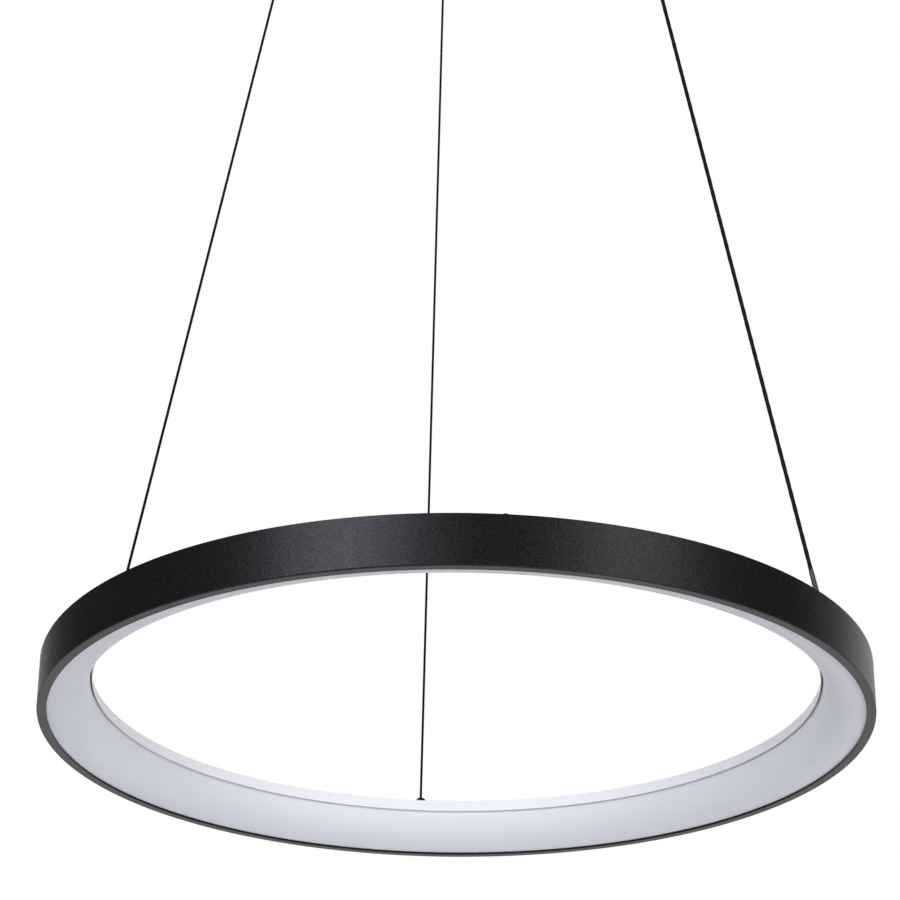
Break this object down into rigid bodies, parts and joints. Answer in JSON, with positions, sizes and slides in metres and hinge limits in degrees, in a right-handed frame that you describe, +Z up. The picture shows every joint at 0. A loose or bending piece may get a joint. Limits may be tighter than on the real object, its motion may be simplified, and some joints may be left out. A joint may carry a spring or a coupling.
{
  "type": "led ring pendant light",
  "caption": "Black LED ring with a white inner wall and an opal diffuser, hung level from a round ceiling canopy by steel wires and a power cord; height-adjustable.",
  "frame": {"origin": "on the ceiling plane, at the middle of the ceiling bracket, on the light's axis", "axes": "+Z up, out of the bracket's ceiling face; +Y towards the rear wire; the power cord is on the +X side"},
  "size_m": [0.6, 0.6, 0.82],
  "materials": {
    "black_coated_aluminium": "satin black powder coat on aluminium",
    "white_coated_aluminium": "satin white powder coat on aluminium",
    "opal_plastic": "opal, slightly translucent",
    "white_board": "white solder mask on a metal-core board",
    "phosphor": "yellow phosphor",
    "black_coated_steel": "satin black powder coat",
    "zinc_steel": "zinc plated",
    "black_screws": "blackened steel",
    "nickel": "nickel plated",
    "wire_steel": "stranded steel wire with a thin black coat",
    "black_cord": "black sheath",
    "grey_sleeve": "dark grey shrink sleeve",
    "black_plastic": "moulded black",
    "grip_rubber": "soft black",
    "white_plastic": "moulded white",
    "terminal_plastic": "milky",
    "brass": "plain",
    "brown_insulation": "brown",
    "blue_insulation": "blue",
    "earth_insulation": "green with a yellow stripe",
    "red_insulation": "red"
  },
  "bodies": {
    "canopy": {"canopy_cup": "black_coated_steel", "ceiling_bracket": "zinc_steel", "canopy_screws": "black_coated_steel", "left_gripper_body": "nickel", "left_gripper_plug": "zinc_steel", "left_gripper_spring": "zinc_steel", "left_gripper_nut": "zinc_steel", "rear_gripper_body": "nickel", "rear_gripper_plug": "zinc_steel", "rear_gripper_spring": "zinc_steel", "rear_gripper_nut": "zinc_steel", "cord_grip_body": "black_plastic", "cord_grip_insert": "grip_rubber", "cord_grip_cap": "black_plastic", "cord_grip_nut": "zinc_steel", "cord_tail": "black_cord", "wire_tails": "wire_steel", "driver_case": "white_plastic", "driver_end_covers": "white_plastic", "driver_cover_screws": "zinc_steel", "driver_nuts": "zinc_steel", "terminal_block": "terminal_plastic", "clamp_screws": "brass", "block_screws": "zinc_steel", "live_lead": "brown_insulation", "neutral_lead": "blue_insulation", "earth_lead": "earth_insulation", "earth_tag": "brass", "earth_screw": "zinc_steel", "left_wire": "wire_steel", "rear_wire": "wire_steel", "power_cord": "black_cord", "cord_sleeve": "grey_sleeve"},
    "ring": {"outer_housing": "black_coated_aluminium", "diffuser": "opal_plastic", "carrier_tray": "white_coated_aluminium", "top_cover": "black_coated_aluminium", "led_boards": "white_board", "led_chips": "phosphor", "board_links": "red_insulation", "cover_screws": "black_screws", "screw_spacers": "zinc_steel", "anchor_spacers": "zinc_steel", "wire_anchors": "black_coated_steel", "wire_ends": "zinc_steel", "anchor_nuts": "zinc_steel", "cord_gland": "black_coated_steel", "cord_stub": "black_cord", "ring_leads": "red_insulation"},
    "left_plunger": {"left_release_plunger": "nickel", "left_gripper_balls": "zinc_steel"},
    "rear_plunger": {"rear_release_plunger": "nickel", "rear_gripper_balls": "zinc_steel"}
  },
  "joints": [
    {"name": "height_adjust", "type": "slide", "parent": "canopy", "child": "ring", "axis": [0, 0, 1], "range_m": [0, 0.3], "deforming": ["left_wire", "rear_wire", "power_cord", "cord_sleeve"]},
    {"name": "left_release", "type": "slide", "parent": "canopy", "child": "left_plunger", "axis": [0, 0, 1], "range_m": [0, 0.0025], "stiffness_N_per_m": 600, "springref_m": -0.001, "deforming": ["left_gripper_spring"]},
    {"name": "rear_release", "type": "slide", "parent": "canopy", "child": "rear_plunger", "axis": [0, 0, 1], "range_m": [0, 0.0025], "stiffness_N_per_m": 600, "springref_m": -0.001, "deforming": ["rear_gripper_spring"]}
  ]
}
